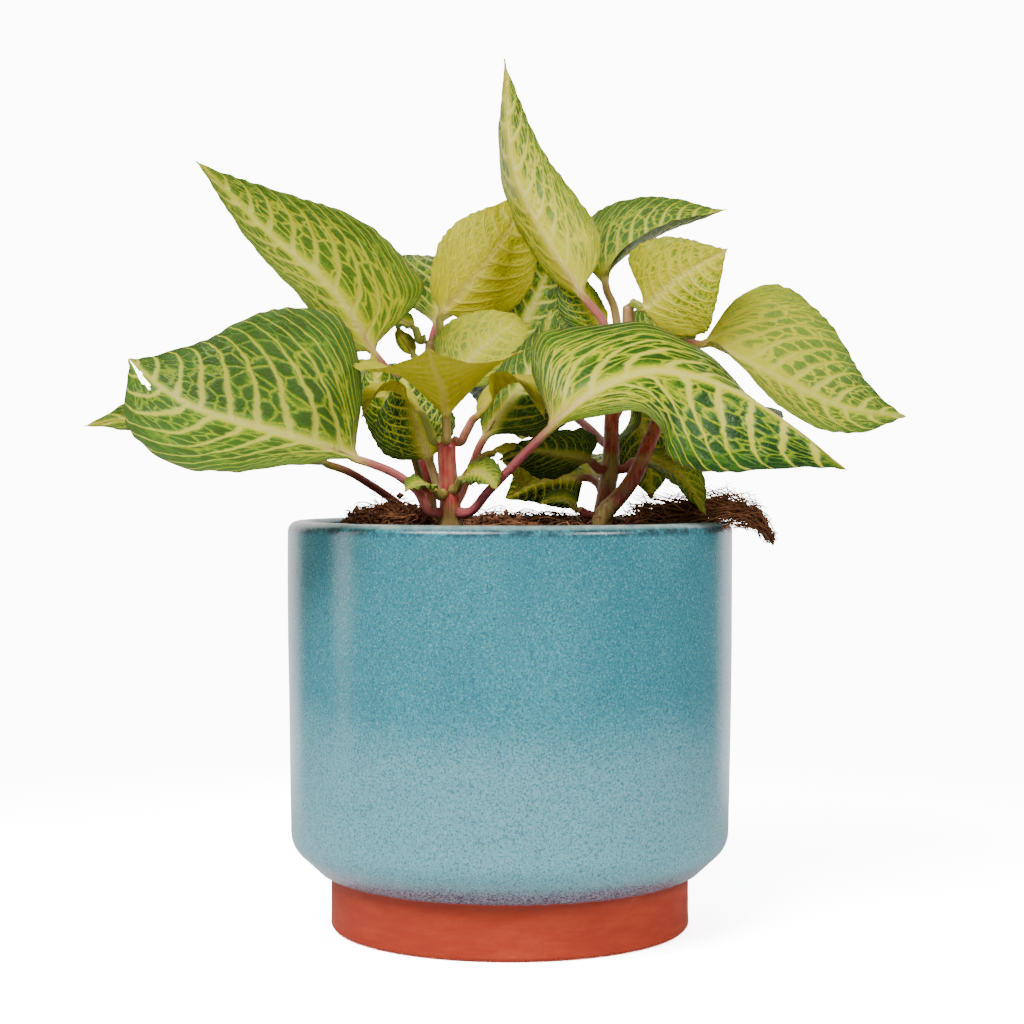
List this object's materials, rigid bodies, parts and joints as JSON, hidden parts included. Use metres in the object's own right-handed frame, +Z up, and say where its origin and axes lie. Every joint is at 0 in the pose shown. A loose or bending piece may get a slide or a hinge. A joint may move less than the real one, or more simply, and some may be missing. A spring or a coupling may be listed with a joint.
{
  "type": "potted bloodleaf",
  "caption": "A bushy broad-leaved plant with crimson stalks and yellow-veined leaves, growing in a straight-sided speckled glazed pot on a bare clay foot",
  "frame": {"origin": "centre of the pot's flat underside, on the pot's axis", "axes": "+Z up, along the plant's height; +X to the right and +Y to the back, with the side that shows the long arching leaf to the front"},
  "size_m": [0.251, 0.16, 0.275],
  "materials": {
    "glaze": "glossy speckled teal glaze, paler blue below, over a bare terracotta foot",
    "plastic": "thin dark moulded plastic, matte",
    "soil": "dark brown moist peat with white perlite grains, rough",
    "coir": "matted reddish-brown coconut fibre, rough",
    "stem": "smooth juicy red-brown stalk, satin",
    "leaf_green": "satin green blade with cream and yellow veins and a crimson stalk",
    "leaf_yellow": "satin yellow young blade with pale veins and faint green stripes"
  },
  "bodies": {
    "root": {"glazed_pot": "glaze", "grow_pot": "plastic", "soil": "soil", "stem_back_left": "stem", "stem_front_left": "stem", "stem_front_right": "stem", "stem_right_branch": "stem", "stem_stub": "stem", "coir_left": "coir", "coir_middle": "coir", "coir_right": "coir", "leaf_left_low": "leaf_green", "leaf_left_high": "leaf_green", "leaf_left_back": "leaf_green", "leaf_top": "leaf_green", "leaf_crown_yellow": "leaf_yellow", "leaf_right_high": "leaf_green", "leaf_crown_cup": "leaf_yellow", "leaf_right_far": "leaf_green", "leaf_front_arch": "leaf_green", "leaf_centre_star": "leaf_yellow", "leaf_centre_back": "leaf_yellow", "leaf_centre_drip": "leaf_yellow", "leaf_centre_curl": "leaf_yellow", "leaf_hang_outer": "leaf_green", "leaf_hang_inner": "leaf_green", "leaf_shade_big": "leaf_green", "leaf_shade_tall": "leaf_green", "leaf_low_middle": "leaf_green", "leaf_low_right": "leaf_green", "leaf_soil_small": "leaf_green", "leaf_back_middle": "leaf_green", "leaf_back_right": "leaf_green", "leaf_back_pale": "leaf_green", "leaf_under_cup": "leaf_green", "leaf_sprout_left": "leaf_green", "leaf_sprout_right": "leaf_green", "leaf_twist_dark": "leaf_green", "leaf_narrow_left": "leaf_green", "leaf_behind_stalk": "leaf_yellow", "leaf_rear_left": "leaf_green", "leaf_rear_tall": "leaf_green", "leaf_rear_middle": "leaf_green", "leaf_rear_right": "leaf_green", "leaf_rear_low": "leaf_green"}
  },
  "joints": []
}
